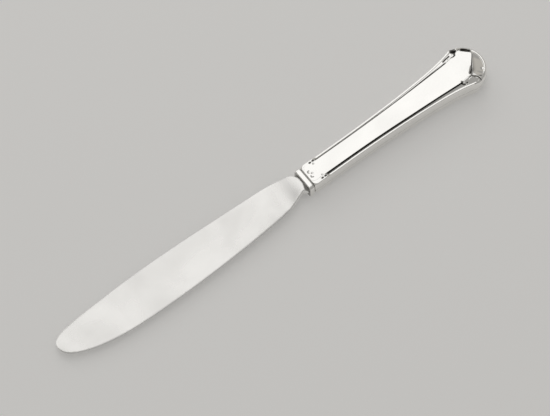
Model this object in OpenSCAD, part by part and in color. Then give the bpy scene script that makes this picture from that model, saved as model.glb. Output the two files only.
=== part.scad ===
// Table knife with a hollow handle: a forged blade, two stamped shells, a collar, the filling and the seam.
// The knife lies on the flat panel of its back shell. +X runs from the blade's tip to the butt, +Y towards
// the spine of the blade and +Z up. The origin is under the middle of the knife, on the surface it lies on.

/* [Blade] */
// Length of the blade from its tip to the collar
blade_len = 126.4; // [110:0.1:140]
// Width of the blade at its widest place
blade_w = 20.3; // [17:0.1:23]
// Distance from the collar to the widest place of the blade
blade_belly = 73.7; // [60:0.1:84]
// Width that the blade has lost at the heel, where it starts to curve in
heel_loss = 5.2; // [3:0.1:7]
// How far the rounded tip lies towards the spine
tip_rise = 2.7; // [1:0.1:4]
// How far the heel lies towards the spine
heel_rise = 1.6; // [0:0.1:2]
// Thickness of the spine at the heel
spine_t = 2.3; // [1.8:0.05:3]
// Thickness of the spine at the tip
tip_t = 1.2; // [0.8:0.05:1.6]
// Thickness of the cutting edge
edge_t = 0.4; // [0.3:0.05:0.6]

/* [Bolster and tang] */
// Width of the oval bolster at the collar
bolster_w = 9.4; // [8:0.1:10]
// Thickness of the oval bolster at the collar
bolster_t = 4.4; // [4.1:0.1:5.5]
// Length over which the blade thickens towards the bolster
bolster_len = 14; // [9:0.1:18]
// Length over which the sides of the bolster round out into its oval
bolster_end = 3; // [2:0.1:5]
// Length of the recess between the bolster and the collar
recess_len = 0.2; // [0.1:0.05:0.5]
// Depth of that recess below the bolster
recess_depth = 0.4; // [0.2:0.05:0.5]
// Width of the tang at the collar
tang_w = 5.6; // [4:0.1:6.4]
// Width of the tang at its end
tang_end_w = 3.8; // [2.5:0.1:4]
// Thickness of the tang
tang_t = 2.6; // [2.2:0.1:3]
// Length of the tang from the front of the collar
tang_len = 64; // [45:1:75]

/* [Handle] */
// Length of the handle from the front of the collar to the butt
handle_len = 99; // [90:0.1:110]
// Width over the two threads along the waist of the handle
waist_w = 11; // [10.4:0.1:12.5]
// Distance from the collar to the end of the straight waist
waist_x = 21.3; // [12:0.1:30]
// How much each side swells from the waist to the ears
swell = 3; // [2:0.1:4]
// How much more each side flares out just before the ears
ear_flare = 1.55; // [0.6:0.05:2]
// Thickness of the handle over its panels at the mouth
neck_t = 8.55; // [8:0.05:9.5]
// Thickness of the handle over its panels at the ears
butt_t = 10.25; // [9:0.05:11.5]
// Thickness of the sheet metal of the shells
wall_t = 0.6; // [0.4:0.05:0.9]
// How far the seam stands out beyond the thread along the sides
side_lean = 0.4; // [0.3:0.05:0.9]
// How far the seam stands out beyond the thread at the butt
butt_lean = 1.05; // [0.6:0.05:1.4]
// Radius of the panel's corners at the mouth of the handle
corner_r = 2.4; // [1.4:0.1:2.6]

/* [Thread border] */
// Width of the raised thread
thread_w = 0.95; // [0.7:0.05:1.05]
// Height of the thread above the band inside it
thread_h = 0.3; // [0.15:0.05:0.4]
// Depth of the thread's crest below the flat panel
thread_drop = 0.42; // [0.25:0.05:0.5]
// Width of the flat panel at the waist
panel_w = 7.8; // [7:0.1:8]
// How much each side of the panel widens from the waist to the ears
panel_swell = 2.1; // [1.5:0.1:2.5]
// Width of the groove beside the panel
groove_w = 0.45; // [0.35:0.05:0.6]
// Depth of the groove below the panel
groove_depth = 0.75; // [0.5:0.05:0.8]
// Distance from the collar to the place where the border starts
border_x = 9; // [6.5:0.1:12]
// Length over which the border sinks to its full depth
border_run = 2.2; // [1.5:0.1:4]

/* [Ears and end lobe] */
// Length of the round lobe from the ears to the butt
lobe_len = 10.9; // [9:0.1:11.5]
// Length of the hollow of each ear
ear_len = 5.6; // [4:0.1:8]
// Depth of the hollow of each ear, beside the thread
ear_hollow = 0.3; // [0.1:0.05:0.4]
// Height to which the band of each ear swells
ear_bulge = 0.15; // [0:0.05:0.25]
// Distance from the ears to the place where the groove has run out
groove_end = 3.9; // [2:0.1:5]
// Length over which the groove runs out
groove_run = 1.8; // [1:0.1:3]
// How far the thread sinks from the ears to the butt
rim_fall = 1.2; // [0.6:0.05:1.4]
// Distance from the centre of the lobe to the straight fold of the panel
fold_reach = 3.55; // [3.2:0.05:4]
// Distance from the centre of the lobe to the straight far edge of the panel
far_reach = 7.37; // [7.1:0.01:7.6]
// Height of the fold above the lobe under it
fold_drop = 0.95; // [0.6:0.05:1.2]
// Depth of the notch between an ear and the lobe
notch_depth = 0.7; // [0.3:0.05:0.9]
// Depth of the gap between the far edge of the panel and the rim of the lobe, below the fold
gap_depth = 0.7; // [0.3:0.05:0.8]
// Height to which the lobe swells between the fold and the thread
fan_rise = 0.08; // [0:0.01:0.15]
// How far the outer border of the thread rolls down on the near side of the lobe
rim_roll = 0.4; // [0.2:0.05:0.5]

/* [Collar] */
// Length of the collar's round bead
bead_len = 2.25; // [1.6:0.05:2.5]
// Length of the groove behind the bead, up to the mouth of the shells
bead_groove = 0.3; // [0.2:0.05:0.6]
// Height of the bead above the groove
bead_h = 0.5; // [0.3:0.05:0.7]
// How far the bead stays below the panels
bead_drop = 0.12; // [0.1:0.01:0.3]
// Length of the spigot inside the shells
spigot_len = 4; // [2.5:0.1:6]

/* [Fits] */
// Thickness of the solder between the shells
solder_t = 0.12; // [0.08:0.01:0.2]
// Gap between the filling and the metal round it
filling_gap = 0.05; // [0.03:0.01:0.1]
// Gap round the tang in its slot
tang_gap = 0.1; // [0.05:0.01:0.2]
// Gap round the spigot inside the shells
spigot_gap = 0.1; // [0.05:0.01:0.2]

/* [Hidden] */

SILVER = [0.88, 0.88, 0.86];
STEEL = [0.82, 0.81, 0.79];
CEMENT = [0.72, 0.68, 0.60];
SOLDER = [0.74, 0.74, 0.72];

// Places along the handle, measured from the front of the collar
mouth_x = bead_len + bead_groove;
ear_x = handle_len - lobe_len;

// The panels rise evenly along the handle, so the knife leans forward when it lies on one of them
panel_slope = (butt_t - neck_t) / 2 / (ear_x - mouth_x);
lean_angle = atan(panel_slope);
lift = (neck_t / 2 - panel_slope * mouth_x) * cos(lean_angle);
middle_x = (handle_len - blade_len) / 2 * cos(lean_angle);

// Directions on the end lobe, in degrees from the axis: the normals of the fold and of the panel's far edge,
// each notch, the petal and the gap
fold_angle = -42;
far_angle = 45;
notch_angle = 77;
notch_spread = 5;
petal_angle = 57;
petal_spread = 3;
gap_angle = 44;
gap_spread = 11;

// Laws shared by the pieces

function clamp01(t) = max(0, min(1, t));
function ease(t) = let (c = clamp01(t)) c * c * (3 - 2 * c);
function mix(a, b, t) = a + (b - a) * t;
function bump(t) = exp(-t * t);
function oval_r(a, b, angle) = 1 / sqrt(pow(cos(angle) / a, 2) + pow(sin(angle) / b, 2));

// A solid through rings of points, each ring with as many points, and a flat face at both ends
module loft(rings) {
    count = len(rings[0]);
    last = len(rings) - 1;
    points = [for (ring = rings) each ring];
    sides = [
        for (j = [0:last - 1], i = [0:count - 1])
            let (a = j * count + i, b = j * count + (i + 1) % count)
            each [[a, b, b + count], [a, b + count, a + count]]
    ];
    front = [for (i = [count - 1:-1:0]) i];
    rear = [for (i = [0:count - 1]) last * count + i];
    polyhedron(points, concat([front, rear], sides));
}

// Everything is modelled about the axis of the knife, then laid on the panel of the back shell
module lay_down() {
    translate([-middle_x, 0, lift]) rotate([0, -lean_angle, 0]) children();
}

// Handle outline. A ray starts on the axis at x and runs at an angle: -90 and 90 point to the two long
// sides, and the angles between them fan out over the end lobe from the place between the ears.

function panel_z(x) = neck_t / 2 + panel_slope * (x - mouth_x);
function flare(x) = clamp01((x - waist_x) / (ear_x - waist_x));
function thread_y(x) = waist_w / 2 + swell * pow(flare(x), 2) + ear_flare * pow(flare(x), 9);
function corner_cut(x) =
    let (rest = max(0, corner_r - (x - mouth_x)))
    corner_r - sqrt(max(0, corner_r * corner_r - rest * rest));
function lean(angle) = mix(side_lean, butt_lean, cos(angle));
function seam_r(x, angle) =
    abs(angle) == 90 ? thread_y(x) + side_lean : oval_r(lobe_len, thread_y(ear_x) + side_lean, angle);
function thread_r(x, angle) = seam_r(x, angle) - lean(angle) - corner_cut(x);

// The edge of the panel follows the threads. On the lobe it is a straight fold and a straight far edge. They
// meet in a blunt corner, and the far edge ends at the far notch.
near_shift = panel_w / 2 + panel_swell - fold_reach / cos(90 + fold_angle);
far_shift = near_shift / 2;
function ear_share(x) = ease((x - (ear_x - ear_len)) / ear_len);
function panel_y(x, side) =
    panel_w / 2 + panel_swell * pow(flare(x), 2) + ear_share(x) * (side > 0 ? far_shift : -near_shift);
function straight_fold(angle) = fold_reach / max(0.2, cos(angle - fold_angle));
function straight_far(angle) = far_reach / max(0.2, cos(angle - far_angle));
function far_edge(angle) = mix(straight_far(angle), panel_y(ear_x, 1), clamp01((angle - 68) / 15));
function fold_edge(angle) = pow(pow(straight_fold(angle), -14) + pow(far_edge(angle), -14), -1 / 14);
function edge_r(x, angle) = abs(angle) == 90 ? panel_y(x, angle) : fold_edge(angle);
function panel_r(x, angle) = min(edge_r(x, angle), thread_r(x, angle) - thread_w - 2 * groove_w);

// Shares of full depth. The border is a mere trace near the mouth, and its groove runs out before the ears.
// The fold starts at once on the near side and ends at the petal on the far side. The near notch is shallow.
TRACE_SHARE = 0.05;
NEAR_NOTCH_SHARE = 0.4;
BAND_FALL_SHARE = 0.25;
LEVEL_SHARE = 0.15;
function border_share(x) = mix(TRACE_SHARE, 1, ease((x - border_x) / border_run));
function groove_share(x) = ease((ear_x - groove_end - x) / groove_run);
function level_share(x) = mix(LEVEL_SHARE, 1, ease((ear_x - groove_end - x) / groove_run + 1));
function fall_share(angle) = 1 - pow(abs(angle) / 90, 4);
function notch_share(angle) =
    bump((abs(angle) - notch_angle) / notch_spread) * (angle < 0 ? NEAR_NOTCH_SHARE : 1);
function petal_share(angle) = angle > 0 ? bump((angle - petal_angle) / petal_spread) : 0;
function gap_share(angle) = bump((angle - gap_angle) / gap_spread);
function fold_share(angle) = angle < 0 ? ease((angle + 87) / 7) : ease((62 - angle) / 9);
function boss_share(angle) = angle < 0 && angle > -90 ? ease((-72 - angle) / 7) : 0;
function roll_share(angle) = ease((angle + 90) / 4) * ease((-46 - angle) / 12);

// How far the crest of the thread, its foot, the band inside it and the groove lie below the panel
function crest_drop(x, angle) =
    border_share(x) * thread_drop + rim_fall * fall_share(angle) + notch_depth / 2 * notch_share(angle);
function foot_step(x, angle) =
    thread_h * (1 - roll_share(angle) * (1 - boss_share(angle)))
    + ear_hollow * ear_share(x) * max(1 - fold_share(angle), boss_share(angle));
function foot_drop(x, angle) =
    crest_drop(x, angle)
    + border_share(x) * foot_step(x, angle)
    + notch_depth / 2 * notch_share(angle);
function side_drop(x, width) =
    max(wall_t / 5, thread_drop + thread_h - BAND_FALL_SHARE * width) * level_share(x);
function fold_depth(angle) = fold_drop + gap_depth * gap_share(angle);
function band_drop(x, angle, width) =
    border_share(x) * mix(side_drop(x, width), fold_depth(angle), fold_share(angle))
    + notch_depth / 2 * notch_share(angle);
function groove_drop(x, angle) =
    let (gap_floor = fold_depth(angle) + thread_h / 2)
    border_share(x) * mix(groove_depth * groove_share(x), gap_floor, fold_share(angle));

// How far a place on the band lies below the panel, at a share of the way from the thread's foot inwards.
// Next to the near notch the band keeps the even slope that it has along the side.
function hollow_drop(x, angle) =
    notch_depth / 2 * notch_share(angle) - mix(ear_bulge * ear_share(x), fan_rise, fold_share(angle));
function across_drop(x, angle, width, t) =
    mix(foot_drop(x, angle), band_drop(x, angle, width), t)
    + hollow_drop(x, angle) * sin(180 * t)
    + thread_h * petal_share(angle) * (1 - t);
function inside_drop(x, angle, width, t) =
    let (even = max(wall_t / 6, foot_drop(x, angle) - BAND_FALL_SHARE * width * t))
    mix(across_drop(x, angle, width, t), even, boss_share(angle));

// One ray's outer section, as [distance, height] from the seam over the thread to the panel's edge
WALL_TURNS = [0, 30, 60];
CREST_SHARES = [0.05, 0.25, 0.8];
CROWN_POWER = 12;
BAND_SHARES = [0.2, 0.45, 0.7];
function outer_knots(x, angle) =
    let (
        seam = seam_r(x, angle),
        crest = thread_r(x, angle),
        edge = panel_r(x, angle),
        foot = crest - thread_w,
        band = edge + groove_w,
        top = crest_drop(x, angle),
        roll = rim_roll * roll_share(angle),
        crown = thread_w / 4,
        wall_top = panel_z(x + crest * cos(angle)) - top - thread_w / 2,
        border = concat(
            [
                for (t = CREST_SHARES)
                    [crest - thread_w * t, top + crown * pow(1 - t, CROWN_POWER) + roll * (1 - t)]
            ],
            [[foot, foot_drop(x, angle)]],
            [for (t = BAND_SHARES) [mix(foot, band, t), inside_drop(x, angle, foot - band, t)]],
            [[band, band_drop(x, angle, foot - band)]],
            [[edge + groove_w / 2, groove_drop(x, angle)], [edge, 0]]
        )
    )
    concat(
        [for (turn = WALL_TURNS) [mix(crest, seam, cos(turn)), solder_t / 2 + wall_top * sin(turn)]],
        [[crest, wall_top]],
        [for (knot = border) [knot[0], panel_z(x + knot[0] * cos(angle)) - knot[1]]]
    );

// The inner section runs one wall inside the outer one
function inner_knots(x, angle) =
    let (outer = outer_knots(x, angle), edge = outer[13][0] - wall_t)
    [
        outer[0] - [wall_t, 0],
        (outer[1] + outer[2]) / 2 - [wall_t, wall_t / 4],
        outer[7] - [0, wall_t * 1.2],
        outer[9] - [0, wall_t],
        outer[12] - [0, wall_t],
        [edge, panel_z(x + edge * cos(angle)) - wall_t]
    ];

function ray_point(ray, knot) = [ray[0] + knot[0] * cos(ray[1]), knot[0] * sin(ray[1]), knot[1]];

// Rays from the mouth along the near side, round the lobe and back along the far side
CORNER_SHARES = [0, 0.05, 0.17, 0.35, 0.6, 1];
corner_x = [for (t = CORNER_SHARES) mouth_x + corner_r * t];
border_steps = [for (t = [0:0.25:1]) border_x + border_run * t];
waist_steps = [for (t = [0.5, 1]) mix(border_x + border_run, waist_x, t)];
swell_steps = [for (t = [0.12:0.11:0.67]) mix(waist_x, ear_x, t)];
flare_steps = [for (t = [0.73:0.05:0.94]) mix(waist_x, ear_x, t)];
side_x = concat(corner_x, border_steps, waist_steps, swell_steps, flare_steps);
ear_steps = [for (t = [1:-1 / 5:0.1]) ear_x - ear_len * t];
long_x = concat([for (x = side_x) if (x < ear_x - ear_len - 0.05 * ear_len) x], ear_steps);
LOBE_STEP = 4;
rays = concat(
    [for (x = long_x) [x, -90]],
    [[ear_x, -90]],
    [for (angle = [LOBE_STEP - 90:LOBE_STEP:90 - LOBE_STEP]) [ear_x, angle]],
    [[ear_x, 90]],
    [for (i = [len(long_x) - 1:-1:0]) [long_x[i], 90]]
);

// Stamped half of the handle
module shell() {
    outer = [for (ray = rays, knot = outer_knots(ray[0], ray[1])) ray_point(ray, knot)];
    inner = [for (ray = rays, knot = inner_knots(ray[0], ray[1])) ray_point(ray, knot)];
    last = len(rays) - 1;
    across = len(outer) / len(rays);
    inside = len(inner) / len(rays);
    shift = len(outer);
    outer_faces = [
        for (j = [0:last - 1], k = [0:across - 2])
            let (a = j * across + k, b = a + across)
            each [[a, a + 1, b + 1], [a, b + 1, b]]
    ];
    inner_faces = [
        for (j = [0:last - 1], k = [0:inside - 2])
            let (a = shift + j * inside + k, b = a + inside)
            each [[a, b + 1, a + 1], [a, b, b + 1]]
    ];
    rim_faces = [
        for (j = [0:last - 1])
            let (a = j * across, b = a + across, c = shift + j * inside, d = c + inside)
            each [[a, b, d], [a, d, c]]
    ];
    panel = [for (j = [last:-1:0]) j * across + across - 1];
    ceiling = [for (j = [0:last]) shift + j * inside + inside - 1];
    mouth = concat(
        [for (k = [across - 1:-1:0]) k],
        [for (k = [0:inside - 1]) shift + k],
        [for (k = [inside - 1:-1:0]) shift + last * inside + k],
        [for (k = [0:across - 1]) last * across + k]
    );
    polyhedron(concat(outer, inner), concat([panel, ceiling, mouth], outer_faces, inner_faces, rim_faces));
}

module front_shell() {
    color(SILVER) lay_down() shell();
}

module back_shell() {
    color(SILVER) lay_down() mirror([0, 0, 1]) shell();
}

// Line of solder between the two shells
function seam_point(ray, inset) =
    [ray[0], 0] + (seam_r(ray[0], ray[1]) - inset) * [cos(ray[1]), sin(ray[1])];
module seam_solder() {
    outside = [for (ray = rays) seam_point(ray, 0)];
    inside = [for (i = [len(rays) - 1:-1:0]) seam_point(rays[i], wall_t)];
    color(SOLDER) lay_down()
        linear_extrude(height = solder_t, center = true) polygon(concat(outside, inside));
}

// Section of the hollow inside both shells on one ray, drawn in by a gap: down from the upper panel to
// the seam and on to the lower panel, as [distance, height]
function hollow_knots(x, angle, gap) =
    let (inner = inner_knots(x, angle), last = len(inner) - 1)
    concat(
        [for (k = [last:-1:1]) inner[k] - [gap, gap]],
        [[inner[0][0] - gap, 0]],
        [for (k = [1:last]) [inner[k][0] - gap, gap - inner[k][1]]]
    );
function mouth_section(gap) =
    let (
        far = hollow_knots(mouth_x, 90, gap),
        near = hollow_knots(mouth_x, -90, gap),
        last = len(near) - 1
    )
    concat(far, [for (k = [last:-1:0]) [-near[k][0], near[k][1]]]);

// Outline of the tang from above, grown by a gap
function tang_outline(gap) =
    let (start = -recess_len, root = tang_w / 2 + gap, tip = tang_end_w / 2 + gap, end = tang_len + gap)
    [[start, -root], [end - tip, -tip], [end, -tip / 2], [end, tip / 2], [end - tip, tip], [start, root]];
module tang(gap) {
    linear_extrude(height = tang_t + 2 * gap, center = true) polygon(tang_outline(gap));
}

// Cement between the shells, from the full depth of the border to the butt, with the tang's pocket in it
module handle_filling() {
    core = [for (ray = rays) if (ray[0] >= border_x + border_run) ray];
    last = len(core) - 1;
    rings = [
        for (ray = core)
            [for (knot = hollow_knots(ray[0], ray[1], filling_gap)) ray_point(ray, knot)]
    ];
    around = len(rings[0]);
    sides = [
        for (j = [0:last - 1], k = [0:around - 2])
            let (a = j * around + k, b = a + around)
            each [[a, b + 1, a + 1], [a, b, b + 1]]
    ];
    top = [for (j = [last:-1:0]) j * around];
    bottom = [for (j = [0:last]) j * around + around - 1];
    front = concat([for (k = [0:around - 1]) k], [for (k = [around - 1:-1:0]) last * around + k]);
    color(CEMENT) lay_down() difference() {
        polyhedron([for (ring = rings) each ring], concat([top, bottom, front], sides));
        tang(tang_gap);
    }
}

// Collar: a round bead, a groove and a spigot, with the slot of the tang through it
COLLAR_SIDES = 48;
OVAL_POWER = 6.5;
BEAD_POWER = 3.5;
function oval_section(half_w, half_t, x) = [
    for (i = [0:COLLAR_SIDES - 1])
        let (angle = -360 * i / COLLAR_SIDES, c = cos(angle), s = sin(angle))
        [
            x,
            half_w * sign(c) * pow(abs(c), 2 / OVAL_POWER),
            half_t * sign(s) * pow(abs(s), 2 / OVAL_POWER)
        ]
];
function bead_inset(turn) = bead_h * pow(1 - sin(turn), BEAD_POWER);
module neck_collar() {
    half_w = seam_r(mouth_x, 90);
    half_t = panel_z(0) - bead_drop;
    bead = [for (turn = [0:20:180]) [(1 - cos(turn)) * bead_len / 2, bead_inset(turn)]];
    profile = concat(bead, [[mouth_x, bead_h]]);
    color(SILVER) lay_down() difference() {
        union() {
            loft([for (step = profile) oval_section(half_w - step[1], half_t - step[1], step[0])]);
            translate([bead_len, 0, 0]) rotate([90, 0, 90])
                linear_extrude(height = bead_groove + spigot_len) polygon(mouth_section(spigot_gap));
        }
        tang(tang_gap);
    }
}

// Blade: x is measured from the collar and is negative. Shares along it are counted from its widest place.
TIP_POWER = 2.2;
TIP_ROUNDNESS = 2.8;
HEEL_SHARES = [0.76, 0.814, 0.53];
function tip_share(x) = max(0, -(x + blade_belly) / (blade_len - blade_belly));
function heel_share(x) = clamp01((x + blade_belly) / blade_belly);
function blade_half_w(x) =
    let (
        tip = min(0.999, tip_share(x)),
        heel = heel_share(x),
        curve = max(0, heel - HEEL_SHARES[0]) / (1 - HEEL_SHARES[0])
    )
    pow(1 - pow(tip, TIP_POWER), 1 / TIP_ROUNDNESS)
    * (blade_w / 2 - heel_loss / 2 * pow(heel / HEEL_SHARES[1], 1.7))
    * (1 - HEEL_SHARES[2] * pow(curve, TIP_POWER));
function blade_middle(x) =
    tip_rise * pow(max(0, (tip_share(x) - 0.32) / 0.68), 2.35) + heel_rise * pow(heel_share(x), 3.5);
function spine_at(x) = mix(tip_t, spine_t, (x + blade_len) / blade_len);

// Section of the blade at x: a wedge that thickens evenly towards the bolster and rounds out into its oval
FACE_SHARES = [0, 0.03, 0.1, 0.22, 0.36, 0.5, 0.64, 0.78, 0.9, 0.97, 1];
RIM_SHARE = 0.7;
WEDGE_ROUNDNESS = 12;
EDGE_ROUNDNESS = 2;
SPINE_ROUNDNESS = 4.5;
function wedge_half_t(x, v) = mix(edge_t, spine_at(x), pow(v, 0.8)) / 2;
function swell_share(x) = clamp01((x + bolster_len) / (bolster_len - recess_len));
function round_share(x) = ease((x + bolster_end) / (bolster_end - recess_len));
function roundness(x, v) = mix(WEDGE_ROUNDNESS, v < 0.5 ? EDGE_ROUNDNESS : SPINE_ROUNDNESS, round_share(x));
function side_share(v, power) = pow(max(0.01, 1 - pow(abs(2 * v - 1), power)), 1 / power);
function rim_share(x, v) =
    let (side = side_share(v, roundness(x, v)))
    mix(max(RIM_SHARE, side), side, round_share(x));
function blade_half_t(x, v) =
    rim_share(x, v) * mix(wedge_half_t(x, v), bolster_t / 2, pow(swell_share(x), 1.3));
function blade_section(x, shrink = 0) =
    let (
        half_w = mix(blade_half_w(x), bolster_w / 2, round_share(x)) - shrink,
        middle = blade_middle(x) * (1 - round_share(x)),
        thin = 1 - shrink / (bolster_t / 2),
        upper = [for (v = FACE_SHARES) [x, middle + half_w * (2 * v - 1), blade_half_t(x, v) * thin]]
    )
    concat(upper, [for (i = [len(upper) - 1:-1:0]) [upper[i][0], upper[i][1], -upper[i][2]]]);
module blade() {
    tip_steps = [for (turn = [0:7.5:90]) -blade_len + (blade_len - blade_belly) * (1 - cos(turn))];
    middle_steps = [for (t = [0.2:0.2:0.8]) mix(-blade_belly, -bolster_len, t)];
    swell_steps = [for (t = [0:0.125:0.9]) mix(-bolster_len, -bolster_end, t)];
    end_steps = [for (t = [0:0.2:1.01]) mix(-bolster_end, -recess_len, t)];
    along = concat(tip_steps, middle_steps, swell_steps, end_steps);
    seat = blade_section(-recess_len, recess_depth);
    seat_end = [for (p = seat) [0, p[1], p[2]]];
    color(STEEL) lay_down() union() {
        loft(concat([for (x = along) blade_section(x)], [seat, seat_end]));
        tang(0);
    }
}

blade();
front_shell();
back_shell();
neck_collar();
handle_filling();
seam_solder();
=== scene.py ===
import math

import bmesh
import bpy
import numpy as np
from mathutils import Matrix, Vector


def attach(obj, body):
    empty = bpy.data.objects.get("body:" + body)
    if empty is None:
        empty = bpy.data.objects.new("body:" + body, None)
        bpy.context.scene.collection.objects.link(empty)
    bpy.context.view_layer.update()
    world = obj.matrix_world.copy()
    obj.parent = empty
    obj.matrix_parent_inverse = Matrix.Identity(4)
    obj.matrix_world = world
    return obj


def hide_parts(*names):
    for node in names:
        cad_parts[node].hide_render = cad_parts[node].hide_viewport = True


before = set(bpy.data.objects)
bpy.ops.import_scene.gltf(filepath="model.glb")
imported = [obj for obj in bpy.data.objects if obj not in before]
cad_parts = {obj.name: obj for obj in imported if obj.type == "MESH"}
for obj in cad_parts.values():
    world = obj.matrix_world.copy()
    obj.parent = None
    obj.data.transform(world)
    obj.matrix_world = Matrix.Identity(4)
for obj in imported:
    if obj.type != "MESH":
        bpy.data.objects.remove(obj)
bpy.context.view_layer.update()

# Camera: the knife lies corner to corner in the picture, and the camera looks down on it from the side
# of the cutting edge with a long lens. It is the first thing set up, so that every render shows that view.
CAMERA_TARGET = Vector((-0.001245, -0.000183, 0.0))
CAMERA_DISTANCE = 1.1
CAMERA_ELEVATION = math.radians(65.0)
CAMERA_TURN = math.radians(37.598)
CAMERA_LENS = 168.57
SENSOR_WIDTH = 36.0

toward_camera = Vector((
    -math.sin(CAMERA_TURN) * math.cos(CAMERA_ELEVATION),
    -math.cos(CAMERA_TURN) * math.cos(CAMERA_ELEVATION),
    math.sin(CAMERA_ELEVATION),
))
camera_data = bpy.data.cameras.new("studio_camera")
camera_data.sensor_fit = "HORIZONTAL"
camera_data.sensor_width = SENSOR_WIDTH
camera_data.lens = CAMERA_LENS
camera_data.clip_start = 0.01
camera_data.clip_end = 20.0
camera = bpy.data.objects.new("studio_camera", camera_data)
camera.location = CAMERA_TARGET + CAMERA_DISTANCE * toward_camera
camera.rotation_euler = (-toward_camera).to_track_quat("-Z", "Y").to_euler()
bpy.context.collection.objects.link(camera)
bpy.context.scene.camera = camera
bpy.context.scene.view_settings.view_transform = "Standard"

# Blade: one forging of stainless steel with a long wedge section, a rounded tip, an oval bolster that
# butts against the collar and a flat tang inside the handle. It is ground, satin polished and finely worn.
MM = 0.001
BLADE_LEN = 126.4
BLADE_W = 20.3
BLADE_BELLY = 73.7
TIP_POWER = 2.2
TIP_ROUNDNESS = 2.8
TIP_END_SHARE = 0.9995
TIP_RISE = 2.7
TIP_RISE_SHARE = 0.32
TIP_RISE_POWER = 2.35
HEEL_LEN = 20.0
HEEL_LOSS = 4.9
HEEL_LOSS_SHARE = 0.814
HEEL_LOSS_POWER = 1.7
HEEL_CURVE_SHARE = 0.76
HEEL_CURVE_POWER = 2.2
HEEL_NARROW_SHARE = 0.44
HEEL_RISE = 1.25
HEEL_RISE_POWER = 3.5
SPINE_T = 2.3
TIP_T = 1.2
EDGE_T = 0.4
WEDGE_POWER = 0.8
BEVEL_W = 0.75
BEVEL_DROP = 0.1
BORDER_ROUND = 0.22
BORDER_END_SHARE = 0.02
GLEAM_W = 0.35
BOLSTER_W = 9.4
BOLSTER_T = 4.4
BOLSTER_LEN = 14.0
BOLSTER_END = 3.0
SWELL_POWER = 1.3
WEDGE_ROUNDNESS = 12.0
WEDGE_SIDE_SHARE = 0.7
NEAR_ROUNDNESS = 2.0
FAR_ROUNDNESS = 4.5
OVAL_END_SHARE = 0.01
RECESS_LEN = 0.2
RECESS_DEPTH = 0.4
TANG_W = 5.6
TANG_END_W = 3.8
TANG_T = 2.6
TANG_LEN = 64.0
BLADE_STEPS = 45
TIP_ROWS = 60
BELLY_ROWS = 50
HEEL_ROWS = 70

HANDLE_LEN = 99.0
NECK_T = 8.55
BUTT_T = 10.25
LOBE_LEN = 10.9
BEAD_LEN = 2.25
BEAD_GROOVE = 0.3
MOUTH_X = BEAD_LEN + BEAD_GROOVE
EAR_X = HANDLE_LEN - LOBE_LEN
PANEL_SLOPE = (BUTT_T - NECK_T) / 2 / (EAR_X - MOUTH_X)
LEAN = math.atan(PANEL_SLOPE)
LIFT = (NECK_T / 2 - PANEL_SLOPE * MOUTH_X) * math.cos(LEAN)
MIDDLE_X = (HANDLE_LEN - BLADE_LEN) / 2 * math.cos(LEAN)
WELD_GAP = 1e-7


def lay_down(points):
    """Points about the knife's own axis, in millimetres from the collar, laid on the back panel in metres."""
    x, y, z = np.asarray(points, float).T
    laid = np.stack([
        x * math.cos(LEAN) - z * math.sin(LEAN) - MIDDLE_X,
        y,
        x * math.sin(LEAN) + z * math.cos(LEAN) + LIFT,
    ], axis=1)
    return laid * MM


def clamp01(t):
    return np.clip(t, 0.0, 1.0)


def ease(t):
    c = clamp01(t)
    return c * c * (3 - 2 * c)


def mix(a, b, t):
    return a + (b - a) * t


def make_piece(name, points, faces, node, masks=None, sharp=None):
    """A smooth mesh that stands for a node of the frame, with masks stored as named values on its points."""
    mesh = bpy.data.meshes.new(name)
    mesh.from_pydata([tuple(p) for p in lay_down(points)], [], faces)
    for mask_name, values in (masks or {}).items():
        layer = mesh.attributes.new(mask_name, "FLOAT", "POINT")
        layer.data.foreach_set("value", np.asarray(values, np.float32))
    form = bmesh.new()
    form.from_mesh(mesh)
    bmesh.ops.remove_doubles(form, verts=form.verts, dist=WELD_GAP)
    bmesh.ops.dissolve_degenerate(form, edges=form.edges, dist=WELD_GAP / 10)
    bmesh.ops.recalc_face_normals(form, faces=form.faces)
    for face in form.faces:
        face.smooth = True
    if sharp is not None:
        for edge in form.edges:
            edge.smooth = edge.calc_face_angle(0.0) < math.radians(sharp)
    form.to_mesh(mesh)
    form.free()
    piece = bpy.data.objects.new(name, mesh)
    bpy.context.collection.objects.link(piece)
    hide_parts(node)
    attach(piece, "root")
    return piece


def loft(rings):
    """Points and faces of a closed form through rings of as many points each, with a face at both ends."""
    count = len(rings[0])
    points = np.concatenate(rings)
    faces = []
    for j in range(len(rings) - 1):
        for i in range(count):
            a, b = j * count + i, j * count + (i + 1) % count
            faces.append((a, b, b + count, a + count))
    last = (len(rings) - 1) * count
    faces.append(tuple(range(count - 1, -1, -1)))
    faces.append(tuple(range(last, last + count)))
    return points, faces


def tip_share(x):
    """Share of the way from the belly of the blade to its tip."""
    return max(0.0, -(x + BLADE_BELLY) / (BLADE_LEN - BLADE_BELLY))


def heel_share(x):
    """Share of the way from the belly of the blade to the collar."""
    return float(clamp01((x + BLADE_BELLY) / BLADE_BELLY))


def blade_half_w(x):
    """Half the width of the blade: a round tip, a full belly and a heel that narrows."""
    tip, heel = min(TIP_END_SHARE, tip_share(x)), heel_share(x)
    round_tip = (1 - tip ** TIP_POWER) ** (1 / TIP_ROUNDNESS)
    taper = HEEL_LOSS / 2 * (heel / HEEL_LOSS_SHARE) ** HEEL_LOSS_POWER
    curve = max(0.0, heel - HEEL_CURVE_SHARE) / (1 - HEEL_CURVE_SHARE)
    return round_tip * (BLADE_W / 2 - taper) * (1 - HEEL_NARROW_SHARE * curve ** HEEL_CURVE_POWER)


def blade_middle(x):
    """How far the middle of the blade lies towards the spine, more at the tip and at the heel."""
    upturn = max(0.0, (tip_share(x) - TIP_RISE_SHARE) / (1 - TIP_RISE_SHARE))
    return TIP_RISE * upturn ** TIP_RISE_POWER + HEEL_RISE * heel_share(x) ** HEEL_RISE_POWER


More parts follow.
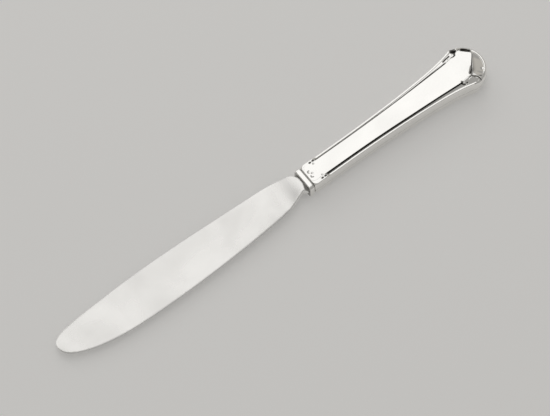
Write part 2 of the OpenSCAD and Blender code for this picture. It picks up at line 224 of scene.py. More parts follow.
def blade_ring(x, shrink=0.0):
    """Section of the blade at x, from the cutting edge over the upper face to the spine and back below."""
    swell = float(clamp01((x + BOLSTER_LEN) / (BOLSTER_LEN - RECESS_LEN)))
    rounding = float(ease((x + BOLSTER_END) / (BOLSTER_END - RECESS_LEN)))
    half_w = mix(blade_half_w(x), BOLSTER_W / 2, rounding) - shrink
    middle = blade_middle(x) * (1 - rounding)
    v = (1 - np.cos(np.linspace(0, np.pi, BLADE_STEPS))) / 2
    spine = mix(TIP_T, SPINE_T, (x + BLADE_LEN) / BLADE_LEN)
    wedge = mix(EDGE_T, spine, v ** WEDGE_POWER) / 2
    face = mix(wedge, BOLSTER_T / 2, ease(swell) ** SWELL_POWER)
    from_edge, from_spine = 2 * half_w * v, 2 * half_w * (1 - v)
    face = face - BEVEL_DROP * (1 - swell) * clamp01(1 - from_edge / BEVEL_W)
    for reach in (from_edge, from_spine):
        turn = 1 - clamp01(reach / BORDER_ROUND)
        face = face * mix(np.sqrt(np.maximum(BORDER_END_SHARE, 1 - turn ** 2)), 1, rounding)
    roundness = mix(WEDGE_ROUNDNESS, np.where(v < 0.5, NEAR_ROUNDNESS, FAR_ROUNDNESS), rounding)
    side = np.maximum(OVAL_END_SHARE, 1 - np.abs(2 * v - 1) ** roundness) ** (1 / roundness)
    half_t = face * mix(np.maximum(side, WEDGE_SIDE_SHARE), side, rounding)
    half_t = half_t * (1 - 2 * shrink / BOLSTER_T)
    y = middle + half_w * (2 * v - 1)
    upper = np.stack([np.full_like(y, x), y, half_t], axis=1)
    lower = upper[::-1] * (1, 1, -1)
    return np.concatenate([upper, lower])


def tang_ring(x, half_w):
    """Corners of the section of the tang at x."""
    half_t = TANG_T / 2
    return np.array([(x, -half_w, half_t), (x, half_w, half_t), (x, half_w, -half_t), (x, -half_w, -half_t)])


tip_turns = np.radians(np.linspace(0, 90, TIP_ROWS))
blade_x = np.concatenate([
    -BLADE_LEN + (BLADE_LEN - BLADE_BELLY) * (1 - np.cos(tip_turns)),
    np.linspace(-BLADE_BELLY, -HEEL_LEN, BELLY_ROWS)[1:],
    np.linspace(-HEEL_LEN, -RECESS_LEN, HEEL_ROWS)[1:],
])
seat = blade_ring(-RECESS_LEN, RECESS_DEPTH)
rings = [blade_ring(x) for x in blade_x] + [seat, seat * (0, 1, 1)]
blade_points, blade_faces = loft(rings)
tang_rings = [tang_ring(-RECESS_LEN, TANG_W / 2), tang_ring(TANG_LEN - TANG_END_W / 2, TANG_END_W / 2),
              tang_ring(TANG_LEN, TANG_END_W / 4)]
tang_points, tang_faces = loft(tang_rings)
shift = len(blade_points)
blade_faces += [tuple(i + shift for i in face) for face in tang_faces]
half_widths = np.array([blade_half_w(x) for x in blade_x])
middles = np.array([blade_middle(x) for x in blade_x])
edge_y = np.interp(blade_points[:, 0], blade_x, middles - half_widths)
spine_y = np.interp(blade_points[:, 0], blade_x, middles + half_widths)
reach = np.minimum(blade_points[:, 1] - edge_y, spine_y - blade_points[:, 1])
# Painted highlight: the steel is made brighter close to the cutting edge and the spine, where the bevel
# catches the light.
gleam = np.exp(-(np.maximum(reach, 0) / GLEAM_W) ** 2)
border = np.concatenate([gleam, np.zeros(len(tang_points))])
blade = make_piece("forged_blade", np.concatenate([blade_points, tang_points]), blade_faces, "blade",
                   {"border": border}, sharp=50)


def new_material(name):
    """A new material with its nodes, its links and its shader."""
    material = bpy.data.materials.new(name)
    material.use_nodes = True
    nodes = material.node_tree.nodes
    return material, nodes, material.node_tree.links, nodes["Principled BSDF"]


def node(nodes, kind, **values):
    """A new node with its settings."""
    made = nodes.new(kind)
    for key, value in values.items():
        setattr(made, key, value)
    return made


def group_tree(name, inputs, outputs):
    """A new shader node group with its own named inputs and outputs."""
    tree = bpy.data.node_groups.new(name, "ShaderNodeTree")
    for label, kind, value in inputs:
        socket = tree.interface.new_socket(label, in_out="INPUT", socket_type=kind)
        if value is not None:
            socket.default_value = value
    for label, kind in outputs:
        tree.interface.new_socket(label, in_out="OUTPUT", socket_type=kind)
    return tree, tree.nodes.new("NodeGroupInput"), tree.nodes.new("NodeGroupOutput")


def hairline_group():
    """Hairlines: fine scratches that run mostly one way, with the share of them that shows."""
    tree, given, put = group_tree(
        "hairlines",
        [("Stretch", "NodeSocketVector", (1, 1, 1)), ("Turn", "NodeSocketFloat", 0.0),
         ("Density", "NodeSocketFloat", 60.0)],
        [("Height", "NodeSocketFloat"), ("Mask", "NodeSocketFloat")],
    )
    nodes, links = tree.nodes, tree.links
    where = nodes.new("ShaderNodeTexCoord")
    turn = nodes.new("ShaderNodeVectorRotate")
    turn.rotation_type = "Z_AXIS"
    stretch = node(nodes, "ShaderNodeVectorMath", operation="MULTIPLY")
    lines = nodes.new("ShaderNodeTexNoise")
    lines.inputs["Detail"].default_value = 4.0
    lines.inputs["Roughness"].default_value = 0.65
    sparse = nodes.new("ShaderNodeMapRange")
    sparse.inputs["From Min"].default_value = 0.62
    sparse.inputs["From Max"].default_value = 0.74
    links.new(where.outputs["Object"], turn.inputs["Vector"])
    links.new(given.outputs["Turn"], turn.inputs["Angle"])
    links.new(turn.outputs["Vector"], stretch.inputs[0])
    links.new(given.outputs["Stretch"], stretch.inputs[1])
    links.new(stretch.outputs["Vector"], lines.inputs["Vector"])
    links.new(given.outputs["Density"], lines.inputs["Scale"])
    links.new(lines.outputs["Fac"], sparse.inputs["Value"])
    links.new(lines.outputs["Fac"], put.inputs["Height"])
    links.new(sparse.outputs["Result"], put.inputs["Mask"])
    return tree


def smudge_group():
    """Smudges: the faint cloudy unevenness that wiping and handling leave on polished metal."""
    tree, given, put = group_tree(
        "wiping_smudges", [("Size", "NodeSocketFloat", 80.0)], [("Mask", "NodeSocketFloat")],
    )
    nodes, links = tree.nodes, tree.links
    where = nodes.new("ShaderNodeTexCoord")
    clouds = nodes.new("ShaderNodeTexNoise")
    clouds.inputs["Detail"].default_value = 5.0
    clouds.inputs["Distortion"].default_value = 0.6
    spread = nodes.new("ShaderNodeMapRange")
    spread.inputs["From Min"].default_value = 0.35
    spread.inputs["From Max"].default_value = 0.7
    links.new(where.outputs["Object"], clouds.inputs["Vector"])
    links.new(given.outputs["Size"], clouds.inputs["Scale"])
    links.new(clouds.outputs["Fac"], spread.inputs["Value"])
    links.new(spread.outputs["Result"], put.inputs["Mask"])
    return tree


hairlines, smudges = hairline_group(), smudge_group()


def use_group(nodes, tree, **values):
    """A node group placed in a material, with its own values."""
    placed = nodes.new("ShaderNodeGroup")
    placed.node_tree = tree
    for label, value in values.items():
        placed.inputs[label].default_value = value
    return placed


def blend_color(nodes, links, mask, first, second):
    """Colour node that goes from the first colour to the second as the mask rises. Either may be a socket."""
    blend = node(nodes, "ShaderNodeMix", data_type="RGBA")
    for socket, value in ((blend.inputs["A"], first), (blend.inputs["B"], second)):
        if isinstance(value, tuple):
            socket.default_value = value
        else:
            links.new(value, socket)
    links.new(mask, blend.inputs["Factor"])
    return blend.outputs["Result"]


def spread_value(nodes, links, mask, low, high):
    """Value that goes from low to high as the mask goes from 0 to 1."""
    spread = nodes.new("ShaderNodeMapRange")
    spread.inputs["To Min"].default_value = low
    spread.inputs["To Max"].default_value = high
    links.new(mask, spread.inputs["Value"])
    return spread.outputs["Result"]


def add_values(nodes, links, first, second, clamp=False):
    """Sum of two sockets, held between 0 and 1 where clamp is set."""
    total = node(nodes, "ShaderNodeMath", operation="ADD", use_clamp=clamp)
    links.new(first, total.inputs[0])
    links.new(second, total.inputs[1])
    return total.outputs["Value"]


def bump_surface(nodes, links, shader, height, strength, depth):
    """Bump that gives the surface a fine height, at a strength and a depth in metres."""
    bump = nodes.new("ShaderNodeBump")
    bump.inputs["Strength"].default_value = strength
    bump.inputs["Distance"].default_value = depth
    links.new(height, bump.inputs["Height"])
    links.new(bump.outputs["Normal"], shader.inputs["Normal"])


STEEL_BRIGHT = (0.855, 0.845, 0.825, 1)
STEEL_SMUDGED = (0.82, 0.81, 0.79, 1)
# Painted highlight: the brighter steel colour along the edges of the blade, where the bevel catches the
# light.
STEEL_EDGE_GLEAM = (0.95, 0.945, 0.93, 1)
STEEL_ROUGHNESS = (0.24, 0.32)
STEEL_BUMP = 0.12
HAIRLINE_DEPTH = 0.00002


def satin_steel():
    """Satin stainless steel: lengthwise polishing lines, faint smudges and a painted highlight that brightens
    the edges.
    """
    material, nodes, links, shader = new_material("satin_steel")
    lines = use_group(nodes, hairlines, Stretch=(0.06, 1.0, 1.0), Density=1400.0)
    cross = use_group(nodes, hairlines, Stretch=(1.0, 0.08, 1.0), Density=420.0, Turn=0.5)
    cloud = use_group(nodes, smudges, Size=38.0)
    border_mask = node(nodes, "ShaderNodeAttribute", attribute_name="border")
    tone = blend_color(nodes, links, cloud.outputs["Mask"], STEEL_BRIGHT, STEEL_SMUDGED)
    tone = blend_color(nodes, links, border_mask.outputs["Fac"], tone, STEEL_EDGE_GLEAM)
    links.new(tone, shader.inputs["Base Color"])
    roughness = spread_value(nodes, links, cloud.outputs["Mask"], *STEEL_ROUGHNESS)
    links.new(roughness, shader.inputs["Roughness"])
    shader.inputs["Metallic"].default_value = 1.0
    scratches = add_values(nodes, links, lines.outputs["Height"], cross.outputs["Mask"])
    bump_surface(nodes, links, shader, scratches, STEEL_BUMP, HAIRLINE_DEPTH)
    return material


blade.data.materials.append(satin_steel())

# Collar: a silver ferrule with a round bead, a groove behind it and a spigot that is soldered inside the
# mouth of the handle. The bolster of the blade butts against its front face.
BEAD_H = 0.5
BEAD_DROP = 0.12
BEAD_POWER = 3.5
BEAD_STEPS = 25
FRONT_IN = 1.6
SPIGOT_LEN = 4.0
SPIGOT_IN = 1.0
SPIGOT_STEP = 0.02
COLLAR_SIDES = 120
COLLAR_SHADE_AND_TARNISH = 0.6
SUNK_SHARE = 0.9
OVAL_POWER = 6.5
WAIST_W = 11.0
SIDE_LEAN = 0.4


def panel_z(x):
    """Height of the flat panel above the axis, which grows towards the butt."""
    return NECK_T / 2 + PANEL_SLOPE * (x - MOUTH_X)


def collar_ring(x, inset):
    """Oval section of the collar at x, set in from its full size."""
    angle = -2 * np.pi * np.arange(COLLAR_SIDES) / COLLAR_SIDES
    c, s = np.cos(angle), np.sin(angle)
    half_w = WAIST_W / 2 + SIDE_LEAN - inset
    half_t = panel_z(0) - BEAD_DROP - inset
    return np.stack([
        np.full_like(angle, x),
        half_w * np.sign(c) * np.abs(c) ** (2 / OVAL_POWER),
        half_t * np.sign(s) * np.abs(s) ** (2 / OVAL_POWER),
    ], axis=1)


collar_profile = [(0.0, FRONT_IN)]
for turn in np.radians(np.linspace(0, 180, BEAD_STEPS)):
    bead_inset = BEAD_H * (1 - abs(math.sin(turn))) ** BEAD_POWER
    collar_profile.append(((1 - math.cos(turn)) * BEAD_LEN / 2, bead_inset))
collar_profile += [(MOUTH_X - SPIGOT_STEP, BEAD_H), (MOUTH_X, SPIGOT_IN), (BEAD_LEN + SPIGOT_LEN, SPIGOT_IN)]
collar_points, collar_faces = loft([collar_ring(x, inset) for x, inset in collar_profile])
# Painted shade, with some patina: the sunk rings at the front face, the foot of the bead, the groove and the
# spigot are given a darker colour.
sunk = [inset > BEAD_H * SUNK_SHARE for x, inset in collar_profile]
collar_shade_and_tarnish = COLLAR_SHADE_AND_TARNISH * np.repeat(sunk, COLLAR_SIDES)
collar = make_piece("neck_ferrule", collar_points, collar_faces, "neck_collar",
                    {"shade_and_tarnish_depth": collar_shade_and_tarnish}, sharp=50)


def shade_and_tarnish_group():
    """Groove darkening: silver stays bright where it is rubbed, and deep in its grooves its colour goes dark
    grey-brown, partly patina and partly painted shade.
    """
    tree, given, put = group_tree(
        "groove_shade_and_tarnish",
        [("Metal", "NodeSocketColor", (0.94, 0.93, 0.90, 1)),
         ("Shade and patina", "NodeSocketColor", (0.045, 0.04, 0.033, 1)),
         ("Depth", "NodeSocketFloat", 0.0)],
        [("Color", "NodeSocketColor"), ("Mask", "NodeSocketFloat")],
    )
    nodes, links = tree.nodes, tree.links
    where = nodes.new("ShaderNodeTexCoord")
    grain = nodes.new("ShaderNodeTexNoise")
    grain.inputs["Scale"].default_value = 900.0
    grain.inputs["Detail"].default_value = 3.0
    uneven = node(nodes, "ShaderNodeMath", operation="MULTIPLY_ADD")
    uneven.inputs[1].default_value = 0.35
    uneven.inputs[2].default_value = 0.8
    deep = node(nodes, "ShaderNodeMath", operation="MULTIPLY", use_clamp=True)
    blend = node(nodes, "ShaderNodeMix", data_type="RGBA")
    links.new(where.outputs["Object"], grain.inputs["Vector"])
    links.new(grain.outputs["Fac"], uneven.inputs[0])
    links.new(uneven.outputs["Value"], deep.inputs[0])
    links.new(given.outputs["Depth"], deep.inputs[1])
    links.new(deep.outputs["Value"], blend.inputs["Factor"])
    links.new(given.outputs["Metal"], blend.inputs["A"])
    links.new(given.outputs["Shade and patina"], blend.inputs["B"])
    links.new(blend.outputs["Result"], put.inputs["Color"])
    links.new(deep.outputs["Value"], put.inputs["Mask"])
    return tree


shade_and_tarnish_tree = shade_and_tarnish_group()
SILVER = (0.95, 0.94, 0.915, 1)
SMUDGED_SHARE = 0.965
SILVER_SMUDGED = tuple(channel * SMUDGED_SHARE for channel in SILVER[:3]) + (1,)
SILVER_ROUGHNESS = (0.10, 0.17)
TARNISH_ROUGHNESS = 0.25
SILVER_BUMP = 0.10


def polished_silver():
    """Polished silver with hairlines in two directions, faint smudges and grooves painted darker, as patina
    and painted shade.
    """
    material, nodes, links, shader = new_material("polished_silver")
    shade_and_tarnish_depth = node(nodes, "ShaderNodeAttribute", attribute_name="shade_and_tarnish_depth")
    cloud = use_group(nodes, smudges, Size=55.0)
    along = use_group(nodes, hairlines, Stretch=(0.10, 1.0, 1.0), Density=900.0, Turn=0.22)
    across = use_group(nodes, hairlines, Stretch=(1.0, 0.12, 1.0), Density=700.0, Turn=-0.4)
    tone = blend_color(nodes, links, cloud.outputs["Mask"], SILVER, SILVER_SMUDGED)
    shade_and_age = use_group(nodes, shade_and_tarnish_tree)
    links.new(tone, shade_and_age.inputs["Metal"])
    links.new(shade_and_tarnish_depth.outputs["Fac"], shade_and_age.inputs["Depth"])
    links.new(shade_and_age.outputs["Color"], shader.inputs["Base Color"])
    shader.inputs["Metallic"].default_value = 1.0
    rough = node(nodes, "ShaderNodeMath", operation="MULTIPLY_ADD")
    links.new(shade_and_age.outputs["Mask"], rough.inputs[0])
    rough.inputs[1].default_value = TARNISH_ROUGHNESS
    links.new(spread_value(nodes, links, cloud.outputs["Mask"], *SILVER_ROUGHNESS), rough.inputs[2])
    links.new(rough.outputs["Value"], shader.inputs["Roughness"])
    scratches = add_values(nodes, links, along.outputs["Mask"], across.outputs["Mask"])
    bump_surface(nodes, links, shader, scratches, SILVER_BUMP, HAIRLINE_DEPTH)
    return material


silver = polished_silver()
collar.data.materials.append(silver)

# Handle shells: two halves struck from thin sheet silver, each with a flat panel, a groove and a raised
# thread along its sides, two curled ears and a lobe at the butt, over which the panel folds like a petal.
# They are struck with small sprigs and curls, meet edge to edge at the seam and are soldered together.
WAIST_X = 21.3
SWELL = 3.0
FLARE_POWER = 2
EAR_FLARE = 1.55
EAR_FLARE_POWER = 9
WALL_T = 0.6
BUTT_LEAN = 0.60
CORNER_R = 2.4
LIP_R = 0.35
THREAD_W = 0.95
THREAD_H = 0.3
THREAD_DROP = 0.42
PANEL_W = 7.8
PANEL_SWELL = 2.1
GROOVE_W = 0.45
GROOVE_DEPTH = 0.75
FAR_GROOVE_DEPTH = 0.57
BAND_FALL = 0.25
BORDER_X = 9.0
BORDER_RUN = 2.2
EAR_LEN = 5.6
GROOVE_END = 3.9
GROOVE_RUN = 1.8
GROOVE_FLOOR_SHARES = (0.66, 0.3)
NEAR_CHANNEL_SHARE = 2.0
FAR_CHANNEL_SHARE = 1.3
PANEL_EDGE_DROP = 0.03
PANEL_EDGE_IN = (0.08, 0.25)
EAR_HOLLOW = 0.3
EAR_BULGE = 0.15
EAR_LEVEL_SHARE = 0.15
FAN_RISE = 0.08
RIM_FALL = 1.2
RIM_POWER = 4
RIM_ROLL = 0.4
FOLD_REACH = 3.55
FAR_REACH = 7.37
FAR_ANGLE = 45.0
FOLD_DROP = 0.95
FOLD_ANGLE = -42.0
FOLD_CORNER_POWER = 14
SLANT_LIMIT = 0.2
NOTCH_DEPTH = 0.7
NOTCH_ANGLE = 77.0
NOTCH_SPREAD = 5.0
PETAL_ANGLE = 57.0
PETAL_SPREAD = 3.0
WEDGE_ANGLE = 44.0
WEDGE_SPREAD = 11.0
NEAR_NOTCH_SHARE = 0.4
WEDGE_DROP = 0.7
SOLDER_T = 0.12
TRACE_SHARE = 0.05
SOFT_STEP_SHARE = 0.3
SIDE_DROP_MIN = 0.12
BOSS_DROP_MIN = 0.1
CREST_SHARES = ((0.05, 0.12), (0.22, 0), (0.72, 0), (0.93, 0))
BAND_SHARES = (0.2, 0.45, 0.7)
WALL_TURNS = (0, 18, 36, 54, 72)
FOOT_WALL_SHARE = 1.2
KNOT_COUNT = 20
WALL_COLUMNS = 21

# Stretches over which a form comes in or runs out, as angles of the rays or as widths of the channel
FAR_EDGE_ANGLES = (68, 83)
NEAR_FOLD_ANGLES = (-87, -80)
FAR_FOLD_ANGLES = (62, 53)
HALF_FOLD_ANGLES = (-25, -55)
BOSS_ANGLES = (-72, -79)
ROLLED_RIM_ANGLES = (-90, -86, -58, -46)
NOTCH_SHADE_ANGLES = (69, 73, 86, 89)
WEDGE_SHADE_ANGLES = (25, 33, 55, 60)
SOFT_STEP_WIDTHS = (0.2, 0.8)
NARROW_WIDTHS = (1.1, 0.2)
FAR_LINE_WIDTHS = (0.05, 0.35, 0.8, 1.7)
# Painted shade: how dark the notches and the half fold are coloured, and how much darker a struck cut is
# coloured for each millimetre of depth, with some patina.
NOTCH_SHADE = 0.85
HALF_FOLD_SHADE = 0.45
SHADE_AND_TARNISH_PER_MM = 3.2


def cosd(angle):
    return np.cos(np.radians(angle))


def sind(angle):
    return np.sin(np.radians(angle))


def ramp(value, start, full):
    """Share that goes smoothly from 0 at start to 1 at full."""
    return ease((value - start) / (full - start))


def between(value, start, full, fade, end):
    """Share that rises from start to full, stays at 1 and falls from fade to end."""
    return ramp(value, start, full) * ramp(value, end, fade)


def flare(x):
    """Share of the way from the waist to the ears."""
    return clamp01((x - WAIST_X) / (EAR_X - WAIST_X))


def thread_y(x):
    """Half the width of the handle over the crests of its threads."""
    return WAIST_W / 2 + SWELL * flare(x) ** FLARE_POWER + EAR_FLARE * flare(x) ** EAR_FLARE_POWER


def corner_cut(x):
    """How much the rounded corners at the mouth take off that half width."""
    rest = np.maximum(0, CORNER_R - (x - MOUTH_X))
    return CORNER_R - np.sqrt(np.maximum(0, CORNER_R ** 2 - rest ** 2))


def seam_r(x, angle):
    """Distance of the seam from the axis: along the sides, then round the lobe of the butt."""
    half_w = thread_y(EAR_X) + SIDE_LEAN
    lobe = 1 / np.sqrt((cosd(angle) / LOBE_LEN) ** 2 + (sind(angle) / half_w) ** 2)
    return np.where(np.abs(angle) == 90, thread_y(x) + SIDE_LEAN, lobe)


def thread_r(x, angle):
    """Distance of the outer side of the thread from the axis."""
    return seam_r(x, angle) - mix(SIDE_LEAN, BUTT_LEAN, cosd(angle)) - corner_cut(x)


NEAR_SHIFT = PANEL_W / 2 + PANEL_SWELL - FOLD_REACH / math.cos(math.radians(90 + FOLD_ANGLE))
FAR_SHIFT = NEAR_SHIFT / 2


def ear_share(x):
    """Share of the way along the ears, over which the edges of the panel shift."""
    return ramp(x, EAR_X - EAR_LEN, EAR_X)


def border_share(x):
    """Share of the edging of the thread, which starts some way behind the mouth."""
    return ramp(x, BORDER_X, BORDER_X + BORDER_RUN)


def groove_share(x):
    """Share of the groove beside the panel, which runs out in front of the ears."""
    return ramp(x, EAR_X - GROOVE_END, EAR_X - GROOVE_END - GROOVE_RUN)


def fold_share(angle):
    """Share of the petal's fold, which spans the fan of the lobe."""
    return np.where(angle < 0, ramp(angle, *NEAR_FOLD_ANGLES), ramp(angle, *FAR_FOLD_ANGLES))


def panel_y(x, side):
    """Half the width of the panel on one side."""
    ear_shift = ear_share(x) * np.where(side > 0, FAR_SHIFT, -NEAR_SHIFT)
    return PANEL_W / 2 + PANEL_SWELL * flare(x) ** FLARE_POWER + ear_shift


def panel_r(x, angle):
    """Distance of the panel's edge from the axis: its sides, then the straight fold with a blunt corner."""
    straight = FOLD_REACH / np.maximum(SLANT_LIMIT, cosd(angle - FOLD_ANGLE))
    far_edge = FAR_REACH / np.maximum(SLANT_LIMIT, cosd(angle - FAR_ANGLE))
    start, end = FAR_EDGE_ANGLES
    far_edge = mix(far_edge, panel_y(EAR_X, 1), clamp01((angle - start) / (end - start)))
    fold = (straight ** -FOLD_CORNER_POWER + far_edge ** -FOLD_CORNER_POWER) ** (-1 / FOLD_CORNER_POWER)
    edge = np.where(np.abs(angle) == 90, panel_y(x, angle), fold)
    channel = GROOVE_W * np.where(angle == 90, FAR_CHANNEL_SHARE, NEAR_CHANNEL_SHARE)
    return np.minimum(edge, thread_r(x, angle) - THREAD_W - channel)


def hump(angle, middle, spread):
    """A soft hump round a middle angle, one high."""
    return np.exp(-((angle - middle) / spread) ** 2)


def outer_section(x, angle):
    """Knots of each ray's section, as distance and height, from the seam over the thread to the panel.

    Knots 0 to 4 are the wall, 5 to 9 the thread, 10 its foot, 11 to 13 the band, 14 the end of the band,
    15 and 16 the groove and 17 to 19 the edge of the panel.
    """
    seam, crest, edge = seam_r(x, angle), thread_r(x, angle), panel_r(x, angle)
    foot, band = crest - THREAD_W, edge + GROOVE_W
    share, fold = mix(TRACE_SHARE, 1, border_share(x)), fold_share(angle)
    softer = np.where(angle == 90, mix(1, SOFT_STEP_SHARE, ramp(foot - band, *SOFT_STEP_WIDTHS)), 1)
    groove = groove_share(x) * np.where(angle == 90, FAR_GROOVE_DEPTH, GROOVE_DEPTH)
    level = mix(EAR_LEVEL_SHARE, 1, groove_share(x - GROOVE_RUN))
    wedge = WEDGE_DROP * hump(angle, WEDGE_ANGLE, WEDGE_SPREAD)
    side_share = np.where(angle < 0, NEAR_NOTCH_SHARE, 1)
    notch = NOTCH_DEPTH * hump(np.abs(angle), NOTCH_ANGLE, NOTCH_SPREAD) * side_share
    petal = THREAD_H * hump(angle, PETAL_ANGLE, PETAL_SPREAD) * (angle > 0)
    boss = np.where((angle < 0) & (angle > -90), ramp(angle, *BOSS_ANGLES), 0)
    rolled = between(angle, *ROLLED_RIM_ANGLES)
    hollow = notch / 2 - mix(EAR_BULGE * ear_share(x), FAN_RISE, fold)

    crest_drop = share * THREAD_DROP + RIM_FALL * (1 - (np.abs(angle) / 90) ** RIM_POWER) + notch / 2
    inner_step = THREAD_H * softer * (1 - rolled * (1 - boss))
    inner_step = inner_step + EAR_HOLLOW * ear_share(x) * np.maximum(1 - fold, boss)
    foot_drop = crest_drop + share * inner_step + notch / 2
    side_drop = np.maximum(SIDE_DROP_MIN, THREAD_DROP + THREAD_H - BAND_FALL * (foot - band))
    band_drop = share * mix(side_drop * level, FOLD_DROP + wedge, fold) + notch / 2
    groove_drop = share * mix(groove, FOLD_DROP + THREAD_H / 2 + wedge, fold)
    wall_top = panel_z(x + crest * cosd(angle)) - crest_drop - THREAD_W / 2
    knots = [(mix(crest, seam, cosd(turn)), SOLDER_T / 2 + wall_top * sind(turn)) for turn in WALL_TURNS]
    knots.append((crest, wall_top))

    def below_panel(distance, drop):
        knots.append((distance, panel_z(x + distance * cosd(angle)) - drop))

    for t, fall in CREST_SHARES:
        below_panel(crest - THREAD_W * t, crest_drop + THREAD_W * fall + RIM_ROLL * rolled * (1 - t))
    below_panel(foot, foot_drop)
    for t in BAND_SHARES:
        reach = mix(foot, band, t)
        across_drop = mix(foot_drop, band_drop, t) + hollow * math.sin(math.pi * t) + petal * (1 - t)
        boss_drop = np.maximum(BOSS_DROP_MIN, foot_drop - BAND_FALL * (foot - reach))
        below_panel(reach, mix(across_drop, boss_drop, boss))
    below_panel(band, band_drop)
    for t in GROOVE_FLOOR_SHARES:
        below_panel(edge + GROOVE_W * t, groove_drop)
    below_panel(edge, PANEL_EDGE_DROP)
    for inward in PANEL_EDGE_IN:
        below_panel(edge - inward, 0.0)
    return np.stack([k[0] for k in knots], axis=1), np.stack([k[1] for k in knots], axis=1)


def inner_section(x, angle):
    """Knots of the inside of each ray's section: seam, wall, foot, band, groove and edge of the panel."""
    distance, height = outer_section(x, angle)
    picks = [
        (distance[:, 0] - WALL_T, height[:, 0]),
        ((distance[:, 2] + distance[:, 3]) / 2 - WALL_T, (height[:, 2] + height[:, 3]) / 2 - WALL_T / 4),
        (distance[:, 10], height[:, 10] - WALL_T * FOOT_WALL_SHARE),
        (distance[:, 14], height[:, 14] - WALL_T),
        (distance[:, 16], height[:, 16] - WALL_T),
        (distance[:, 17] - WALL_T, height[:, 17] - WALL_T),
    ]
    return np.stack([p[0] for p in picks], axis=1), np.stack([p[1] for p in picks], axis=1)


def cut_corners(values, rounds=2):
    """Corners cut along each row, a quarter in from each knot, so that all but the ends is rounded."""
    for _ in range(rounds):
        first, second = values[:, :-1], values[:, 1:]
        cut = np.stack([mix(first, second, 0.25), mix(first, second, 0.75)], axis=2)
        values = np.concatenate([values[:, :1], cut.reshape(len(values), -1), values[:, -1:]], axis=1)
    return values


def on_rays(x, angle, distance, height):
    """Points of sections that stand on rays from the axis."""
    c, s = cosd(angle)[:, None], sind(angle)[:, None]
    c = np.where(np.abs(angle)[:, None] == 90, 0, c)
    return np.stack([x[:, None] + distance * c, distance * s, height], axis=2)


LINE_SHARPNESS = 1.4


def line_relief(points, line, half_w, height_from, height_to):
    """Height that a struck line adds at each plan point: a soft ridge, or a cut where it is negative."""
    line = np.array(line, float)
    best = np.full(len(points), np.inf)
    height = np.zeros(len(points))
    steps = np.linspace(0, 1, len(line))
    for i in range(len(line) - 1):
        a, b = line[i], line[i + 1]
        along = clamp01(((points - a) @ (b - a)) / ((b - a) @ (b - a)))
        gap = np.linalg.norm(points - a - along[:, None] * (b - a), axis=1)
        closer = gap < best
        best = np.where(closer, gap, best)
        height = np.where(closer, mix(height_from, height_to, mix(steps[i], steps[i + 1], along)), height)
    return height * np.exp(-(best / half_w) ** 2 * LINE_SHARPNESS)


def curl(x, y, radius, start, end, steps=10, shrink=1.0):
    """Points of a curl round a centre, from one angle to another, that may close in."""
    turns = np.linspace(start, end, steps)
    radii = np.linspace(radius, radius * shrink, steps)
    return [(x + r * cosd(t), y + r * sind(t)) for t, r in zip(turns, radii)]


# Struck lines, as points x and y, a half width and a height at both ends. Mirrored ones lie on both sides
# of the axis, near ones on the side of the cutting edge and far ones on the side of the spine
MIRRORED_LINES = [
    ([(94.5, 5.3), (94.7, 4.8)], 0.2, -0.3, -0.1),
    ([(91.4, 7.4), (92.4, 7.9)], 0.22, -0.25, -0.3),
    (curl(4.5, 1.15, 0.6, 240, 75, shrink=0.9), 0.2, -0.1, -0.2),
    ([(5.2, 0.0), (5.4, 0.0)], 0.5, -0.1, -0.1),
    ([(7.3, 4.45), (7.6, 4.45)], 0.32, -0.45, -0.45),
    ([(8.9, 4.45), (9.3, 4.5)], 0.32, -0.45, -0.45),
    ([(8.3, 3.1), (8.7, 3.5)], 0.4, -0.1, -0.06),
]
NEAR_LINES = [
    (curl(83.7, -6.25, 0.9, -95, -235), 0.28, -0.55, -0.5),
    ([(84.75, -7.0), (84.95, -7.1)], 0.28, -0.6, -0.6),
    ([(88.5, -4.4), (89.6, -3.35), (91.0, -2.0)], 0.3, -0.45, -0.05),
    ([(87.3, -9.62), (88.4, -9.8)], 0.15, -0.3, -0.3),
    (curl(87.85, -8.75, 3.05, -236, -264, steps=6), 0.15, -0.15, -0.3),
    (curl(87.85, -8.75, 3.05, -262, -372, steps=18), 0.22, -0.3, -0.6),
]
FAR_LINES = [
    (curl(87.85, 8.9, 2.65, 232, 292, steps=12), 0.22, -0.1, -0.4),
    ([(82.9, 7.15), (84.8, 7.55), (86.5, 7.7)], 0.3, -0.3, -0.45),
]
# How many half widths round a mirrored line its relief is worked out
LINE_MARGIN = 4
# Small beads beside the ears and on the rim of the lobe, as x, y and radius
BEADS = [(83.95, -6.3, 0.42), (95.45, -5.35, 0.5), (95.3, 5.9, 0.5), (87.9, -9.4, 0.5)]
BEAD_RISE = 0.06


def raise_beads(points, relief):
    """Points and relief with the metal levelled at each bead, so that its flat top catches the light."""
    for x, y, radius in BEADS:
        gap = np.linalg.norm(points[:, :2] - (x, y), axis=1)
        level = np.mean(points[gap < radius / 2, 2]) + BEAD_RISE
        outside = ease(gap / radius * 2 - 1)
        points[:, 2] = mix(level, points[:, 2], outside)
        relief = relief * outside
    return points, relief


def relief_at(points):
    """Struck relief at plan points: most lines stand on both sides of the axis, a few on one side alone."""
    folded = np.stack([points[:, 0], np.abs(points[:, 1])], axis=1)
    total = np.zeros(len(points))
    for line, half_w, height_from, height_to in MIRRORED_LINES:
        low = np.min(line, axis=0) - LINE_MARGIN * half_w
        high = np.max(line, axis=0) + LINE_MARGIN * half_w
        close = np.all((folded > low) & (folded < high), axis=1)
        total[close] += line_relief(folded[close], line, half_w, height_from, height_to)
    for line in NEAR_LINES + FAR_LINES:
        total += line_relief(points, *line)
    return total


